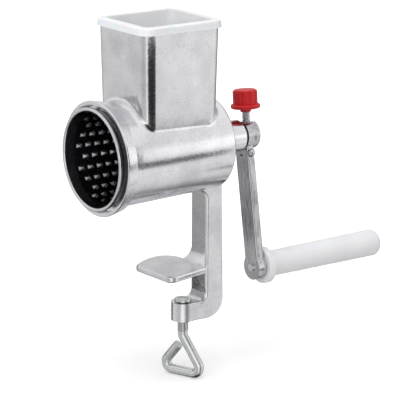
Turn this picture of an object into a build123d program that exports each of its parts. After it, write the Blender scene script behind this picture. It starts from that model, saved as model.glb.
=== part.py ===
"""A hand crank peanut grinder that clamps to a table edge, in millimetres.

The origin is on the underside of the clamp's jaw, straight above the clamp screw: the
jaw rests there on the table top. +Z is up. The barrel lies along X with its open mouth
towards -X and the crank at +X. The crank hangs as it does when the grinder stands idle.
"""

import math
import os

from build123d import *

os.makedirs("parts", exist_ok=True)

# ---------------------------------------------------------------- clearances
RUNNING_GAP = 0.05  # radial play of a turning fit
FACE_GAP = 0.05  # axial play between faces that turn against each other
SEAT_GAP = 0.02  # gap between fixed parts that sit in each other
LOOSE_GAP = 0.3  # play of parts that are lifted in and out by hand

# ---------------------------------------------------------------- barrel and collar
AXIS_HEIGHT = 92.0  # barrel axis above the jaw's underside
MOUTH_X = -75.0  # front face of the collar
BARREL_LENGTH = 97.2
BARREL_FRONT_RADIUS = 36.2
BARREL_REAR_RADIUS = 34.1
BARREL_WALL = 2.6
REAR_WALL = 4.0
REAR_EDGE_ROUND = 2.8
COLLAR_RADIUS = 41.0
COLLAR_BACK_RADIUS = 39.2
COLLAR_LENGTH = 8.5
COLLAR_ROUND = 0.8
SEAT_RADIUS = 38.0  # recess in the collar that clears the drum's rim
SEAT_BACK_RADIUS = 37.0
SEAT_DEPTH = 5.5

# ---------------------------------------------------------------- shaft and bearings
SHAFT_RADIUS = 5.0
BUSH_RADIUS = 7.0
BUSH_LENGTH = 12.0
BUSH_FLANGE_RADIUS = 9.0
BUSH_FLANGE = 1.2
WASHER_RADIUS = 8.0
WASHER_THICKNESS = 1.0
BEARING_BOSS_RADIUS = 11.8
BEARING_BOSS_LENGTH = 26.2  # behind the barrel's rear wall
BEARING_BOSS_FILLET = 3.0

# ---------------------------------------------------------------- hopper
HOPPER_X = -21.35
HOPPER_TOP = 184.0
HOPPER_HALF_LENGTH = 33.3  # along X, outside, at the top
HOPPER_HALF_WIDTH = 30.4  # along Y, outside, at the top
HOPPER_CORNER = 9.0
HOPPER_WALL = 2.6
HOPPER_DRAFT = 1.1  # degrees, narrowing downwards
HOPPER_FILLET = 5.0  # where it runs into the barrel
HOPPER_OPENING_HEIGHT = 8.0  # above the barrel's axis, where its space ends in the bore

# ---------------------------------------------------------------- clamp frame
FRAME_WIDTH = 21.0
POST_FRONT_X = 13.8
POST_TOP_BACK_X = 27.4
POST_BACK_X = 29.3
POST_SHOULDER = 0.5  # how far up the barrel's wall the post reaches
POST_GUSSET = 8.0  # radius between the post's front and the barrel's underside
GUSSET_SINK = 0.9  # of the gusset's front end in the barrel's underside
ARM_TOP_Z = -24.5  # top of the lower arm and of its screw boss
ARM_BOTTOM_Z = -38.0
SCREW_BOSS_RADIUS = 8.8
HEEL_RADIUS = 14.0
ARM_FILLET = 6.0
FRAME_EDGE = 1.8

# ---------------------------------------------------------------- jaw plate
JAW_THICKNESS = 4.7
JAW_NEAR_CORNER = (-30.2, -27.2)  # outline from above, corners not yet rounded
JAW_TIP = (-32.0, 14.0)
JAW_FAR_SWEEP = (-19.0, 22.3)  # the far corner is one long sweep through here
JAW_FAR_CREST = (-6.0, 25.4)
JAW_FAR_SHOULDER = (2.4, 21.6)
JAW_FAR_END = (7.4, 10.0)  # where the far and near sides meet the foot
JAW_NEAR_SHOULDER = (7.0, -19.6)
JAW_NEAR_END = (11.0, -8.0)
JAW_CORNER = 6.0
JAW_SHOULDER_CORNER = 3.0
JAW_EDGE = 1.5
JAW_WEB = 12.0  # length of the post's foot on the plate
JAW_FOOT_HALF_WIDTH = 8.0
JAW_TOP_FILLET = 10.5
JAW_UNDER_FILLET = 3.0

# ---------------------------------------------------------------- grating drum
DRUM_OVERHANG = 4.3  # how far the rim stands out of the collar
DRUM_MOUTH_X = MOUTH_X - DRUM_OVERHANG
DRUM_FRONT_RADIUS = 33.6
DRUM_REAR_RADIUS = 29.5
DRUM_SHEET = 0.8
RIM_BEAD_RADIUS = 1.45
RIM_FLARE = 1.0  # the sheet opens out by this much towards the bead
RIM_FLARE_LENGTH = 6.0
HOLE_RADIUS = 2.2
HOLE_LINES = 25  # lines of holes along the drum
HOLES_IN_LINE = 10
HOLE_PITCH = 7.5
HOLE_MARGIN = 11.8  # from the rim's face to the first hole
HOLE_STAGGER = 3  # the lines are staggered in steps of one third of the pitch
HOLE_FIRST_ANGLE = -10.5  # degrees above the far side of the drum
END_PLATE = 1.2
DRUM_HUB_FLANGE_RADIUS = 17.0
DRUM_HUB_FLANGE = 3.0
DRUM_HUB_RADIUS = 9.0
DRUM_HUB_LENGTH = 8.0
RIVET_COUNT = 4
RIVET_CIRCLE_RADIUS = 13.2
RIVET_RADIUS = 1.6
RIVET_HEAD_RADIUS = 2.8
RIVET_HEAD = 1.1
RIVET_TAIL_RADIUS = 2.4
RIVET_TAIL = 0.8
CROSS_PIN_RADIUS = 1.5
SHAFT_FRONT_OVERHANG = 1.0
SHAFT_END_INSET = 0.6
SHAFT_FLAT_DEPTH = 0.6
SHAFT_CHAMFER = 0.6

# ---------------------------------------------------------------- crank
CRANK_REST_ANGLE = 5.0  # degrees off hanging straight down
CRANK_RADIUS = 98.9
HUB_RADIUS = 10.5
HUB_LENGTH = 11.5
HUB_EDGE = 2.0
HUB_SPOT_RADIUS = 6.0
HUB_SPOT_DEPTH = 1.5
ARM_WIDTH = 15.0
ARM_THICKNESS = 6.6
ARM_EDGE = 1.2
ARM_LEAN = 5.2  # how far the lower end stands out from the hub's face
ARM_BEAD_RADIUS = 3.15
ARM_BEAD_DROP = 12.5
ARM_DIMPLE_RADIUS = 1.6
ARM_DIMPLE_DEPTH = 1.2
ARM_DIMPLE_DROP = 14.0
ARM_BOSS_RADIUS = 9.4
ARM_BOSS_LENGTH = 7.2
PIN_TAIL_RADIUS = 2.8
PIN_TAIL_DOME = 1.2

# ---------------------------------------------------------------- clamping knob
KNOB_SCREW_RADIUS = 3.0
KNOB_NECK_START = 16.7  # heights above the barrel's axis, along the screw
KNOB_FLANGE_START = 19.2
KNOB_BODY_START = 22.4
KNOB_SHOULDER = 32.0
KNOB_TOP = 32.9
KNOB_NECK_RADIUS = 3.9
KNOB_FLANGE_RADIUS = 10.75
KNOB_BODY_RADIUS = 9.0
KNOB_TOP_RADIUS = 7.7
KNOB_FLUTES = 10
KNOB_FLUTE_RADIUS = 1.5
KNOB_FLUTE_DEPTH = 0.6
KNOB_SCREW_EMBED = 9.0
KNOB_EDGE = 1.2

# ---------------------------------------------------------------- grip
GRIP_FLANGE_RADIUS = 13.45
GRIP_FLANGE = 5.8
GRIP_FLANGE_EDGE = 1.0
GRIP_LENGTH = 111.3
GRIP_NEAR_RADIUS = 9.5
GRIP_FAR_RADIUS = 10.2
GRIP_END_ROUND = 5.0
GRIP_PIN_RADIUS = 4.0
GRIP_PIN_LENGTH = 86.8
GRIP_BORE_END_GAP = 4.0
SNAP_GROOVE_DEPTH = 0.6
SNAP_GROOVE_WIDTH = 3.0
SNAP_LIP_WIDTH = 2.0
SNAP_SETBACK = 10.0  # of the groove from the pin's end

# ---------------------------------------------------------------- clamp screw and pad
CLAMP_THREAD_RADIUS = 4.0
CLAMP_THREAD_END_Z = -47.5
WIRE_RADIUS = 3.55
LOOP_TURN = -69.0  # degrees from +X to the loop's plane
LOOP_BEND = 5.0
LOOP_NECK_Z = -50.5
LOOP_BOTTOM_Z = -78.0
LOOP_RIGHT = 18.6
LOOP_LEFT = -19.6
LOOP_CUT_END = (-3.8, -58.2)
PAD_RADIUS = 6.3
PAD_THICKNESS = 1.4
PAD_LIFT = 0.6  # of the screw's end, and of the pad on it, above the lower arm
SPIGOT_RADIUS = 2.5
SPIGOT_HEAD_RADIUS = 3.6
SPIGOT_HEAD = 0.8
SPIGOT_SINK = 0.1  # the peened head ends below the pad's face

# ---------------------------------------------------------------- pusher
PUSHER_TOP = 185.2
SKIRT_BOTTOM = 180.2
SKIRT_HALF_LENGTH = 35.1
SKIRT_HALF_WIDTH = 32.2
SKIRT_FLARE = 0.7  # the skirt's top is this much narrower on each side
SKIRT_CORNER = 9.5
PLUG_DEPTH = 48.0
PLUG_WALL = 2.0
PLUG_FLOOR = 2.4
PUSHER_EDGE = 0.8

# ---------------------------------------------------------------- worked out once
REAR_X = MOUTH_X + BARREL_LENGTH
REAR_INNER_X = REAR_X - REAR_WALL
BOSS_END_X = REAR_X + BEARING_BOSS_LENGTH
HUB_FACE_X = BOSS_END_X + BUSH_FLANGE + WASHER_THICKNESS + 2 * FACE_GAP
HUB_MID_X = HUB_FACE_X + HUB_LENGTH / 2
HUB_END_X = HUB_FACE_X + HUB_LENGTH
DRUM_REAR_X = REAR_INNER_X - BUSH_FLANGE - WASHER_THICKNESS - 2 * FACE_GAP
ARM_FOOT_X = HUB_FACE_X + ARM_LEAN
GRIP_START_X = ARM_FOOT_X + ARM_BOSS_LENGTH + LOOSE_GAP
FRAME_HALF = FRAME_WIDTH / 2
RIM_X = DRUM_MOUTH_X + RIM_BEAD_RADIUS
HOLE_START_RADIUS = DRUM_REAR_RADIUS - DRUM_SHEET - RIM_BEAD_RADIUS
HUB_PLATE_X = DRUM_REAR_X - END_PLATE - DRUM_HUB_FLANGE
SHAFT_END_X = HUB_END_X - SHAFT_END_INSET
PIN_SHOULDER_X = ARM_FOOT_X + ARM_BOSS_LENGTH + SEAT_GAP
PIN_END_X = PIN_SHOULDER_X + GRIP_PIN_LENGTH
SNAP_X = PIN_END_X - SNAP_SETBACK
LIP_X = SNAP_X + (SNAP_GROOVE_WIDTH - SNAP_LIP_WIDTH) / 2
LIP_RADIUS = GRIP_PIN_RADIUS - SNAP_GROOVE_DEPTH / 2
GRIP_END_X = GRIP_START_X + GRIP_LENGTH
PLUG_BOTTOM = HOPPER_TOP - PLUG_DEPTH
PLUG_HALF_LENGTH = HOPPER_HALF_LENGTH - HOPPER_WALL - LOOSE_GAP
PLUG_HALF_WIDTH = HOPPER_HALF_WIDTH - HOPPER_WALL - LOOSE_GAP
PLUG_CORNER = HOPPER_CORNER - HOPPER_WALL - LOOSE_GAP
BARREL_BOTTOM_Z = AXIS_HEIGHT - BARREL_REAR_RADIUS + BARREL_WALL  # of the bore at the rear wall
POST_TOP_Z = BARREL_BOTTOM_Z + POST_SHOULDER
GUSSET_Z = AXIS_HEIGHT - BARREL_REAR_RADIUS + GUSSET_SINK
GUSSET_X = POST_FRONT_X - POST_GUSSET - FRAME_EDGE
HOPPER_SPACE_Z = AXIS_HEIGHT + HOPPER_OPENING_HEIGHT
SCREW_END_Z = ARM_TOP_Z + PAD_LIFT

BARREL_AXIS = Axis((0, 0, AXIS_HEIGHT), (1, 0, 0))
# X along the barrel, local Y outwards from its axis
BARREL_PLANE = Plane(origin=(0, 0, AXIS_HEIGHT), x_dir=(1, 0, 0), z_dir=(0, -1, 0))
CRANK_SIN = math.sin(math.radians(CRANK_REST_ANGLE))
CRANK_COS = math.cos(math.radians(CRANK_REST_ANGLE))
CRANK_DOWN = Vector(0, -CRANK_SIN, -CRANK_COS)
CRANK_SIDE = Vector(0, CRANK_COS, -CRANK_SIN)
# X along the barrel, local Y down the crank arm
CRANK_PLANE = Plane(origin=(0, 0, AXIS_HEIGHT), x_dir=(1, 0, 0), z_dir=CRANK_SIDE)
CRANK_PIN_POINT = Vector(0, 0, AXIS_HEIGHT) + CRANK_DOWN * CRANK_RADIUS
PIN_AXIS = Axis(CRANK_PIN_POINT, (1, 0, 0))
PIN_PLANE = Plane(origin=CRANK_PIN_POINT, x_dir=(1, 0, 0), z_dir=(0, -1, 0))
PIN_CROSS_PLANE = Plane(origin=CRANK_PIN_POINT, x_dir=(0, 1, 0), z_dir=(1, 0, 0))
KNOB_PLANE = Plane(
    origin=(HUB_MID_X, 0, AXIS_HEIGHT), x_dir=(1, 0, 0), z_dir=CRANK_DOWN * -1
)

BEAD_POINT = (
    Vector(HUB_FACE_X + ARM_THICKNESS / 2, 0, AXIS_HEIGHT)
    + CRANK_DOWN * ARM_BEAD_DROP
    - CRANK_SIDE * (ARM_WIDTH / 2)
)
DIMPLE_PLANE = Plane(
    origin=Vector(HUB_FACE_X, 0, AXIS_HEIGHT) + CRANK_DOWN * ARM_DIMPLE_DROP,
    x_dir=(0, 1, 0),
    z_dir=(1, 0, 0),
)
ARM_BAND = (CRANK_PIN_POINT.Z, AXIS_HEIGHT - HUB_RADIUS)
CROSS_PIN_PLANE = Plane.XY.offset(AXIS_HEIGHT).move(Location((HUB_PLATE_X - DRUM_HUB_LENGTH / 2, 0, 0)))
LOOP_PLANE = Plane(
    origin=(0, 0, 0),
    x_dir=(math.cos(math.radians(LOOP_TURN)), math.sin(math.radians(LOOP_TURN)), 0),
    z_dir=(math.sin(math.radians(LOOP_TURN)), -math.cos(math.radians(LOOP_TURN)), 0),
)


def across(x):
    """Return the plane across the barrel's axis at x, facing +X."""
    return Plane(origin=(x, 0, AXIS_HEIGHT), x_dir=(0, 1, 0), z_dir=(1, 0, 0))


def hopper_inset(z):
    """Return how much narrower the hopper is on each side at the height z."""
    return (HOPPER_TOP - z) * math.tan(math.radians(HOPPER_DRAFT))


def barrel_radius(x):
    """Return the barrel's outer radius at x."""
    share = (x - MOUTH_X) / BARREL_LENGTH
    return BARREL_FRONT_RADIUS + (BARREL_REAR_RADIUS - BARREL_FRONT_RADIUS) * share


def drum_radius(x):
    """Return the drum's outer radius at x."""
    share = (x - DRUM_MOUTH_X) / (DRUM_REAR_X - DRUM_MOUTH_X)
    return DRUM_FRONT_RADIUS + (DRUM_REAR_RADIUS - DRUM_FRONT_RADIUS) * share


RIM_SHEET_RADIUS = drum_radius(RIM_X) + RIM_FLARE

# ================================================================ body casting
with BuildPart() as clamp_frame:
    with BuildSketch(Plane.XZ) as frame_side:
        with BuildLine():
            Polyline(
                (GUSSET_X, POST_TOP_Z),
                (GUSSET_X, GUSSET_Z),
                (POST_FRONT_X, GUSSET_Z),
                (POST_FRONT_X, ARM_TOP_Z),
                (0, ARM_TOP_Z),
                (0, ARM_BOTTOM_Z),
                (POST_BACK_X, ARM_BOTTOM_Z),
                (POST_TOP_BACK_X, POST_TOP_Z),
                close=True,
            )
        make_face()
        fillet(vertices().sort_by_distance((POST_FRONT_X, GUSSET_Z, 0))[0], POST_GUSSET)
        fillet(vertices().sort_by_distance((POST_FRONT_X, ARM_TOP_Z, 0))[0], ARM_FILLET)
        fillet(vertices().sort_by_distance((POST_BACK_X, ARM_BOTTOM_Z, 0))[0], HEEL_RADIUS)
    extrude(amount=FRAME_WIDTH, both=True)
    # seen from above the frame widens evenly from the screw boss to the back of the post
    with BuildSketch(Plane.XY.offset(ARM_BOTTOM_Z)) as frame_plan:
        with BuildLine():
            Polyline(
                (0, SCREW_BOSS_RADIUS),
                (POST_BACK_X, FRAME_HALF),
                (POST_BACK_X, -FRAME_HALF),
                (0, -SCREW_BOSS_RADIUS),
                close=True,
            )
        make_face()
    extrude(amount=AXIS_HEIGHT - ARM_BOTTOM_Z, mode=Mode.INTERSECT)
    for side in (0, -1):
        side_face = clamp_frame.faces().filter_by(GeomType.PLANE).sort_by(Axis.Y)[side]
        outline = side_face.edges().filter_by(lambda edge: edge.center().X > FRAME_EDGE)
        outline = outline.filter_by(lambda edge: edge.center().Z < GUSSET_Z - FRAME_EDGE / 2)
        fillet(outline, FRAME_EDGE)
    # the foot that carries the jaw plate
    with BuildSketch(Plane.XZ) as jaw_foot:
        with BuildLine():
            Polyline(
                (POST_FRONT_X + FRAME_EDGE, JAW_THICKNESS + JAW_WEB),
                (POST_FRONT_X, JAW_THICKNESS + JAW_WEB),
                (POST_FRONT_X, JAW_THICKNESS),
                (POST_FRONT_X - JAW_WEB, JAW_THICKNESS),
                (POST_FRONT_X - JAW_WEB, 0),
                (POST_FRONT_X, 0),
                (POST_FRONT_X, -JAW_WEB),
                (POST_FRONT_X + FRAME_EDGE, -JAW_WEB),
                close=True,
            )
        make_face()
        fillet(vertices().sort_by_distance((POST_FRONT_X, JAW_THICKNESS, 0))[0], JAW_TOP_FILLET)
        fillet(vertices().sort_by_distance((POST_FRONT_X, 0, 0))[0], JAW_UNDER_FILLET)
    extrude(amount=JAW_FOOT_HALF_WIDTH, both=True)

with BuildPart() as jaw_plate:
    with BuildSketch(Plane.XY) as jaw_plan:
        with BuildLine():
            Polyline(
                (POST_FRONT_X + FRAME_EDGE, -JAW_FOOT_HALF_WIDTH),
                JAW_NEAR_END,
                JAW_NEAR_SHOULDER,
                JAW_NEAR_CORNER,
                JAW_TIP,
            )
            ThreePointArc(JAW_TIP, JAW_FAR_SWEEP, JAW_FAR_CREST)
            ThreePointArc(JAW_FAR_CREST, JAW_FAR_SHOULDER, JAW_FAR_END)
            Polyline(
                JAW_FAR_END,
                (POST_FRONT_X + FRAME_EDGE, JAW_FOOT_HALF_WIDTH),
                (POST_FRONT_X + FRAME_EDGE, -JAW_FOOT_HALF_WIDTH),
            )
        make_face()
        fillet(vertices().sort_by_distance((*JAW_NEAR_CORNER, 0))[0], JAW_CORNER)
        fillet(vertices().sort_by_distance((*JAW_TIP, 0))[0], JAW_CORNER)
        fillet(vertices().sort_by_distance((*JAW_NEAR_SHOULDER, 0))[0], JAW_SHOULDER_CORNER)
    extrude(amount=JAW_THICKNESS)
    fillet(jaw_plate.faces().sort_by(Axis.Z)[-1].edges(), JAW_EDGE)
    fillet(jaw_plate.faces().sort_by(Axis.Z)[0].edges(), JAW_EDGE)

with BuildPart() as body_casting:
    with BuildSketch(BARREL_PLANE) as barrel_side:
        with BuildLine():
            Polyline(
                (MOUTH_X, 0),
                (MOUTH_X, COLLAR_RADIUS),
                (MOUTH_X + COLLAR_LENGTH, COLLAR_BACK_RADIUS),
                (MOUTH_X + COLLAR_LENGTH, barrel_radius(MOUTH_X + COLLAR_LENGTH)),
                (REAR_X, BARREL_REAR_RADIUS),
                (REAR_X, BEARING_BOSS_RADIUS),
                (BOSS_END_X, BEARING_BOSS_RADIUS),
                (BOSS_END_X, 0),
                close=True,
            )
        make_face()
        fillet(vertices().sort_by_distance((MOUTH_X, COLLAR_RADIUS, 0))[0], COLLAR_ROUND)
        fillet(vertices().sort_by_distance((REAR_X, BARREL_REAR_RADIUS, 0))[0], REAR_EDGE_ROUND)
        fillet(vertices().sort_by_distance((REAR_X, BEARING_BOSS_RADIUS, 0))[0], BEARING_BOSS_FILLET)
        fillet(vertices().sort_by_distance((BOSS_END_X, BEARING_BOSS_RADIUS, 0))[0], COLLAR_ROUND)
    revolve(axis=BARREL_AXIS)
    # the hopper, drawn in towards the barrel
    with BuildSketch(Plane(origin=(HOPPER_X, 0, AXIS_HEIGHT))) as hopper_foot:
        RectangleRounded(
            2 * (HOPPER_HALF_LENGTH - hopper_inset(AXIS_HEIGHT)),
            2 * (HOPPER_HALF_WIDTH - hopper_inset(AXIS_HEIGHT)),
            HOPPER_CORNER,
        )
    with BuildSketch(Plane(origin=(HOPPER_X, 0, HOPPER_TOP))) as hopper_rim:
        RectangleRounded(2 * HOPPER_HALF_LENGTH, 2 * HOPPER_HALF_WIDTH, HOPPER_CORNER)
    loft()
    hopper_root = body_casting.edges(Select.LAST).filter_by(
        lambda edge: edge.center().Z < HOPPER_TOP - HOPPER_CORNER
        and edge.center().Z > AXIS_HEIGHT + FRAME_HALF
        and edge.bounding_box().size.Z < HOPPER_HALF_WIDTH
    )
    fillet(hopper_root, HOPPER_FILLET)
    add(clamp_frame.part)
    add(jaw_plate.part)
    with BuildSketch(Plane.XY.offset(ARM_BOTTOM_Z)):
        Circle(SCREW_BOSS_RADIUS)
    extrude(amount=ARM_TOP_Z - ARM_BOTTOM_Z)
    # the barrel's bore and the recess for the drum's rim
    with BuildSketch(BARREL_PLANE) as bore_side:
        with BuildLine():
            Polyline(
                (MOUTH_X, 0),
                (MOUTH_X, SEAT_RADIUS),
                (MOUTH_X + SEAT_DEPTH, SEAT_BACK_RADIUS),
                (MOUTH_X + SEAT_DEPTH, barrel_radius(MOUTH_X + SEAT_DEPTH) - BARREL_WALL),
                (REAR_INNER_X, barrel_radius(REAR_INNER_X) - BARREL_WALL),
                (REAR_INNER_X, 0),
                close=True,
            )
        make_face()
    revolve(axis=BARREL_AXIS, mode=Mode.SUBTRACT)
    # the hopper's space, open into the barrel
    with BuildSketch(Plane(origin=(HOPPER_X, 0, HOPPER_SPACE_Z))):
        RectangleRounded(
            2 * (HOPPER_HALF_LENGTH - hopper_inset(HOPPER_SPACE_Z) - HOPPER_WALL),
            2 * (HOPPER_HALF_WIDTH - hopper_inset(HOPPER_SPACE_Z) - HOPPER_WALL),
            HOPPER_CORNER - HOPPER_WALL,
        )
    with BuildSketch(Plane(origin=(HOPPER_X, 0, HOPPER_TOP))):
        RectangleRounded(
            2 * (HOPPER_HALF_LENGTH - HOPPER_WALL),
            2 * (HOPPER_HALF_WIDTH - HOPPER_WALL),
            HOPPER_CORNER - HOPPER_WALL,
        )
    loft(mode=Mode.SUBTRACT)
    # the bearing bore for the bushes, and the tapped hole of the clamp screw
    with BuildSketch(across(REAR_INNER_X)):
        Circle(BUSH_RADIUS + SEAT_GAP)
    extrude(amount=REAR_WALL + BEARING_BOSS_LENGTH, mode=Mode.SUBTRACT)
    with BuildSketch(Plane.XY.offset(ARM_BOTTOM_Z)):
        Circle(CLAMP_THREAD_RADIUS + RUNNING_GAP)
    extrude(amount=ARM_TOP_Z - ARM_BOTTOM_Z, mode=Mode.SUBTRACT)

body_casting.part.label = "body_casting"
export_step(body_casting.part, "parts/body_casting.step")

# ================================================================ bearing
for bush_name, flange_x, into_casting in (
    ("front_bush", REAR_INNER_X, 1),
    ("rear_bush", BOSS_END_X, -1),
):
    with BuildPart() as bush:
        with BuildSketch(across(flange_x)):
            Circle(BUSH_RADIUS)
            Circle(SHAFT_RADIUS + RUNNING_GAP, mode=Mode.SUBTRACT)
        extrude(amount=into_casting * BUSH_LENGTH)
        with BuildSketch(across(flange_x)):
            Circle(BUSH_FLANGE_RADIUS)
            Circle(SHAFT_RADIUS + RUNNING_GAP, mode=Mode.SUBTRACT)
        extrude(amount=-into_casting * BUSH_FLANGE)
    bush.part.label = bush_name
    export_step(bush.part, f"parts/{bush_name}.step")

for washer_name, washer_x in (
    ("inner_thrust_washer", DRUM_REAR_X + FACE_GAP),
    ("outer_thrust_washer", HUB_FACE_X - FACE_GAP - WASHER_THICKNESS),
):
    with BuildPart() as washer:
        with BuildSketch(across(washer_x)):
            Circle(WASHER_RADIUS)
            Circle(SHAFT_RADIUS + RUNNING_GAP, mode=Mode.SUBTRACT)
        extrude(amount=WASHER_THICKNESS)
    washer.part.label = washer_name
    export_step(washer.part, f"parts/{washer_name}.step")

# ================================================================ grating drum
hole_places = []
for line in range(HOLE_LINES):
    away = line - HOLE_LINES // 2
    # the stagger runs both ways from the middle line
    line_step = (abs(away) + HOLE_STAGGER - 1) % HOLE_STAGGER * HOLE_PITCH / HOLE_STAGGER
    turn = HOLE_FIRST_ANGLE + away * 360 / HOLE_LINES
    spoke = Location((0, 0, 0), (0, 0, turn)) * Location((HOLE_START_RADIUS, 0, 0), (0, 90, 0))
    for hole in range(HOLES_IN_LINE):
        hole_x = DRUM_MOUTH_X + HOLE_MARGIN + line_step + hole * HOLE_PITCH
        hole_places.append(across(hole_x).location * spoke)

with BuildPart() as drum_shell:
    with BuildSketch(BARREL_PLANE) as shell_side:
        with BuildLine():
            Polyline(
                (RIM_X, RIM_SHEET_RADIUS),
                (RIM_X + RIM_FLARE_LENGTH, drum_radius(RIM_X + RIM_FLARE_LENGTH)),
                (DRUM_REAR_X, DRUM_REAR_RADIUS),
                (DRUM_REAR_X, DRUM_REAR_RADIUS - DRUM_SHEET),
                (RIM_X + RIM_FLARE_LENGTH, drum_radius(RIM_X + RIM_FLARE_LENGTH) - DRUM_SHEET),
                (RIM_X, RIM_SHEET_RADIUS - DRUM_SHEET),
                close=True,
            )
        make_face()
        with Locations((RIM_X, RIM_SHEET_RADIUS - DRUM_SHEET + RIM_BEAD_RADIUS)):
            Circle(RIM_BEAD_RADIUS)
    revolve(axis=BARREL_AXIS)
    with Locations(*hole_places):
        Cylinder(
            HOLE_RADIUS,
            DRUM_FRONT_RADIUS + RIM_BEAD_RADIUS - HOLE_START_RADIUS,
            align=(Align.CENTER, Align.CENTER, Align.MIN),
            mode=Mode.SUBTRACT,
        )

with BuildPart() as drum_end_plate:
    with BuildSketch(across(DRUM_REAR_X - END_PLATE)):
        Circle(DRUM_REAR_RADIUS - DRUM_SHEET - SEAT_GAP)
        Circle(SHAFT_RADIUS + SEAT_GAP, mode=Mode.SUBTRACT)
        with PolarLocations(RIVET_CIRCLE_RADIUS, RIVET_COUNT):
            Circle(RIVET_RADIUS + SEAT_GAP, mode=Mode.SUBTRACT)
    extrude(amount=END_PLATE)

with BuildPart() as drum_hub:
    with BuildSketch(across(HUB_PLATE_X)):
        Circle(DRUM_HUB_FLANGE_RADIUS)
        with PolarLocations(RIVET_CIRCLE_RADIUS, RIVET_COUNT):
            Circle(RIVET_RADIUS + SEAT_GAP, mode=Mode.SUBTRACT)
    extrude(amount=DRUM_HUB_FLANGE)
    with BuildSketch(across(HUB_PLATE_X)):
        Circle(DRUM_HUB_RADIUS)
    extrude(amount=-DRUM_HUB_LENGTH)
    with BuildSketch(across(HUB_PLATE_X - DRUM_HUB_LENGTH)):
        Circle(SHAFT_RADIUS + SEAT_GAP)
    extrude(amount=DRUM_HUB_LENGTH + DRUM_HUB_FLANGE, mode=Mode.SUBTRACT)
    with BuildSketch(CROSS_PIN_PLANE):
        Circle(CROSS_PIN_RADIUS + SEAT_GAP)
    extrude(amount=DRUM_HUB_RADIUS + SEAT_GAP, both=True, mode=Mode.SUBTRACT)

with BuildPart() as drum_rivets:
    with BuildSketch(across(HUB_PLATE_X)):
        with PolarLocations(RIVET_CIRCLE_RADIUS, RIVET_COUNT):
            Circle(RIVET_RADIUS)
    extrude(amount=DRUM_HUB_FLANGE + END_PLATE)
    with BuildSketch(across(HUB_PLATE_X)):
        with PolarLocations(RIVET_CIRCLE_RADIUS, RIVET_COUNT):
            Circle(RIVET_HEAD_RADIUS)
    extrude(amount=-RIVET_HEAD)
    with BuildSketch(across(DRUM_REAR_X)):
        with PolarLocations(RIVET_CIRCLE_RADIUS, RIVET_COUNT):
            Circle(RIVET_TAIL_RADIUS)
    extrude(amount=RIVET_TAIL)

with BuildPart() as drum_cross_pin:
    with BuildSketch(CROSS_PIN_PLANE):
        Circle(CROSS_PIN_RADIUS)
    extrude(amount=DRUM_HUB_RADIUS, both=True)

with BuildPart() as drive_shaft:
    with BuildSketch(across(HUB_PLATE_X - DRUM_HUB_LENGTH - SHAFT_FRONT_OVERHANG)):
        Circle(SHAFT_RADIUS)
    extrude(amount=SHAFT_END_X - HUB_PLATE_X + DRUM_HUB_LENGTH + SHAFT_FRONT_OVERHANG)
    chamfer(drive_shaft.faces().sort_by(Axis.X)[-1].edges(), SHAFT_CHAMFER)
    with BuildSketch(CROSS_PIN_PLANE):
        Circle(CROSS_PIN_RADIUS + SEAT_GAP)
    extrude(amount=DRUM_HUB_RADIUS, both=True, mode=Mode.SUBTRACT)
    # the flat under the clamping knob's screw runs out at the shaft's end
    with BuildSketch(KNOB_PLANE.offset(SHAFT_RADIUS - SHAFT_FLAT_DEPTH)):
        Rectangle(HUB_LENGTH + FACE_GAP, 2 * SHAFT_RADIUS)
    extrude(amount=SHAFT_RADIUS, mode=Mode.SUBTRACT)

# ================================================================ crank
with BuildPart() as crank_arm:
    with BuildSketch(across(HUB_FACE_X)):
        Circle(HUB_RADIUS)
    extrude(amount=HUB_LENGTH)
    fillet(crank_arm.faces().sort_by(Axis.X)[-1].edges(), HUB_EDGE)
    with BuildSketch(CRANK_PLANE) as arm_side:
        with BuildLine():
            Polyline(
                (HUB_FACE_X, 0),
                (HUB_FACE_X, HUB_RADIUS),
                (ARM_FOOT_X, CRANK_RADIUS),
                (ARM_FOOT_X + ARM_THICKNESS, CRANK_RADIUS),
                (HUB_FACE_X + ARM_THICKNESS, HUB_RADIUS),
                (HUB_FACE_X + ARM_THICKNESS, 0),
                close=True,
            )
        make_face()
    extrude(amount=ARM_WIDTH / 2, both=True)
    sides = crank_arm.edges().filter_by(lambda edge: ARM_BAND[0] < edge.center().Z < ARM_BAND[1])
    fillet(sides.filter_by(lambda edge: edge.length > CRANK_RADIUS / 2), ARM_EDGE)
    with BuildSketch(PIN_CROSS_PLANE.offset(ARM_FOOT_X)):
        Circle(ARM_BOSS_RADIUS)
    extrude(amount=ARM_BOSS_LENGTH)
    with Locations(BEAD_POINT):
        Sphere(ARM_BEAD_RADIUS)
    with BuildSketch(across(HUB_FACE_X)):
        Circle(SHAFT_RADIUS + RUNNING_GAP)
    extrude(amount=HUB_LENGTH, mode=Mode.SUBTRACT)
    with BuildSketch(DIMPLE_PLANE):
        Circle(ARM_DIMPLE_RADIUS)
    extrude(amount=ARM_DIMPLE_DEPTH, both=True, mode=Mode.SUBTRACT)
    with BuildSketch(KNOB_PLANE.offset(HUB_RADIUS - HUB_SPOT_DEPTH)):
        Circle(HUB_SPOT_RADIUS)
    extrude(amount=HUB_RADIUS, mode=Mode.SUBTRACT)
    with BuildSketch(KNOB_PLANE):
        Circle(KNOB_SCREW_RADIUS + RUNNING_GAP)
    extrude(amount=HUB_RADIUS, mode=Mode.SUBTRACT)
    with BuildSketch(PIN_CROSS_PLANE.offset(ARM_FOOT_X - ARM_EDGE)):
        Circle(PIN_TAIL_RADIUS + SEAT_GAP)
    extrude(amount=ARM_BOSS_LENGTH + ARM_EDGE, mode=Mode.SUBTRACT)

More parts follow.
